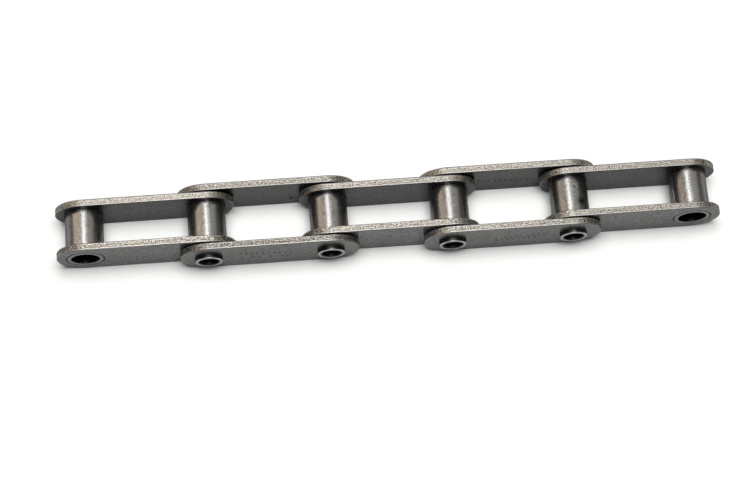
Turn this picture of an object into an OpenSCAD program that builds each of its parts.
// Hollow pin conveyor chain: a straight strand of inner and outer links, standing on its plate edges.
// +X runs along the strand, +Y across it, parallel to the pins, and +Z is up.
// The origin is midway along and across the strand, on the surface that the plate edges stand on.

/* [Strand] */
// Distance between neighbouring pin centres
pitch = 25.4; // [22:0.1:60]
// Number of inner links; one outer link joins each pair of them
inner_links = 3; // [2:1:6]

/* [Plates] */
// Height of a plate, which is also the width across its round ends
plate_h = 11.8; // [11:0.1:16]
// Thickness of a plate
plate_t = 1.5; // [1.2:0.05:2.5]
// Chamfer around the outline of a plate, on both faces
plate_chamfer = 0.15; // [0.05:0.05:0.3]
// Gap between the inner plates of one link
inside_w = 8.05; // [6:0.05:12]
// Side play between an inner plate and the outer plate beside it
side_play = 0.2; // [0.1:0.05:0.5]

/* [Bushes] */
// Outer diameter of a bush
bush_od = 7.95; // [7.6:0.05:9]
// Bore of a bush
bush_id = 5.75; // [5.7:0.01:6]
// Chamfer on the outer edge of a bush
bush_chamfer = 0.25; // [0.05:0.05:0.3]
// Chamfer at the mouths of the bore
bush_mouth = 0.15; // [0.05:0.05:0.3]
// Width of the butt seam of the curled bush
seam_w = 0.08; // [0.05:0.01:0.2]

/* [Hollow pins] */
// Outer diameter of a pin
pin_od = 5.63; // [5.2:0.01:5.65]
// Bore of a pin
pin_id = 4.0; // [3:0.1:4.4]
// Overall length of a pin
pin_l = 16.1; // [15.4:0.1:20]
// Chamfer on the outer edge of a pin
pin_chamfer = 0.1; // [0.05:0.05:0.3]
// Chamfer at the mouths of the bore
pin_mouth = 0.3; // [0.05:0.05:0.3]

/* [Colours] */
// Plates
plate_colour = "dimgray"; // ["dimgray", "gray", "slategray"]
// Bushes
bush_colour = "gray"; // ["gray", "dimgray", "darkgray"]
// Pins
pin_colour = "darkgray"; // ["darkgray", "silver", "gray"]

/* [Hidden] */
$fn = 96;

// Both ends of a link, and both sides of the strand: -1 is left or front, 1 is right or rear.
ENDS = [-1, 1];
END_NAMES = ["left", "right"];
SIDE_NAMES = ["front", "rear"];
INNER_PARTS = ["front_plate", "rear_plate", "left_bush", "right_bush"];
OUTER_PARTS = ["front_plate", "rear_plate", "left_pin", "right_pin"];

outer_links = inner_links - 1;
axis_z = plate_h / 2;

// Widths across the strand, from the inside outwards.
inner_link_w = inside_w + 2 * plate_t;
outside_gap = inner_link_w + 2 * side_play;

// Where each link's middle is along the strand.
function inner_x(i) = (2 * i - outer_links) * pitch;
function outer_x(i) = inner_x(i) + pitch;

// Direction of a bush's seam, in degrees from +X towards +Z. The seams lie about the underside, apart
// from the very last one, which ends up on the upper flank that faces along its own link.
UNDERSIDE = 270;
UPPER_FLANK = 155;
SEAM_SPREAD = 25;
SEAM_STEP = 10;
function is_last_bush(i, end) = i == inner_links - 1 && end > 0;
function seam_angle(i, end) =
    is_last_bush(i, end) ? UPPER_FLANK : UNDERSIDE + SEAM_SPREAD * end - SEAM_STEP * i;

function part_name(kind, i, part) = str(kind, "_link_", i + 1, "_", part);

// Turns a shape drawn along +Z so that it lies along +Y, centred on the strand, with its own X still on +X.
module across(length) {
    translate([0, -length / 2, 0])
        rotate([-90, 0, 0])
            children();
}

// A straight tube along +Z, chamfered at the outer edges and at the mouths of its bore.
module tube(od, id, length, edge, mouth) {
    ro = od / 2;
    ri = id / 2;
    rotate_extrude()
        polygon([
            [ri + mouth, 0],
            [ro - edge, 0],
            [ro, edge],
            [ro, length - edge],
            [ro - edge, length],
            [ri + mouth, length],
            [ri, length - mouth],
            [ri, mouth]
        ]);
}

// Half of a plate's cross-section, from the distance "from" off its centre line out to its edge.
module plate_section(from) {
    r = plate_h / 2;
    polygon([
        [from, 0],
        [r - plate_chamfer, 0],
        [r, plate_chamfer],
        [r, plate_t - plate_chamfer],
        [r - plate_chamfer, plate_t],
        [from, plate_t]
    ]);
}

// A straight-sided plate in the XY plane, centred on the origin, with a hole at each end.
module plate_blank(hole_d) {
    difference() {
        union() {
            for (end = ENDS)
                translate([end * pitch / 2, 0, 0])
                    rotate([0, 0, -90 * end])
                        rotate_extrude(angle = 180)
                            plate_section(hole_d / 4);
            for (half = ENDS)
                mirror([0, (1 - half) / 2, 0])
                    translate([-pitch / 2, 0, 0])
                        rotate([90, 0, 90])
                            linear_extrude(pitch)
                                plate_section(0);
        }
        for (end = ENDS)
            translate([end * pitch / 2, 0, -plate_t])
                cylinder(d = hole_d, h = 3 * plate_t);
    }
}

// A plate in its place in a link: side is -1 for the front and 1 for the rear, gap is between the two plates.
module link_plate(hole_d, gap, side) {
    color(plate_colour)
        translate([0, side * (gap + plate_t) / 2, 0])
            across(plate_t)
                plate_blank(hole_d);
}

// A bush curled from strip, with a butt seam along its whole length.
module bush(end, seam) {
    color(bush_colour)
        translate([end * pitch / 2, 0, 0])
            difference() {
                across(inner_link_w)
                    tube(bush_od, bush_id, inner_link_w, bush_chamfer, bush_mouth);
                rotate([0, -seam, 0])
                    translate([bush_id / 4, -inner_link_w, -seam_w / 2])
                        cube([bush_od, 2 * inner_link_w, seam_w]);
            }
}

// A hollow pin, pressed into both outer plates, with its ends standing out beyond them.
module hollow_pin(end) {
    color(pin_colour)
        translate([end * pitch / 2, 0, 0])
            across(pin_l)
                tube(pin_od, pin_id, pin_l, pin_chamfer, pin_mouth);
}

// Every part of every link, each drawn only when its own name is asked for.
for (i = [0:inner_links - 1])
    for (k = [0, 1])
        translate([inner_x(i), 0, axis_z]) {
            link_plate(bush_od, inside_w, ENDS[k]);
            bush(ENDS[k], seam_angle(i, ENDS[k]));
        }

for (i = [0:outer_links - 1])
    for (k = [0, 1])
        translate([outer_x(i), 0, axis_z]) {
            link_plate(pin_od, outside_gap, ENDS[k]);
            hollow_pin(ENDS[k]);
        }
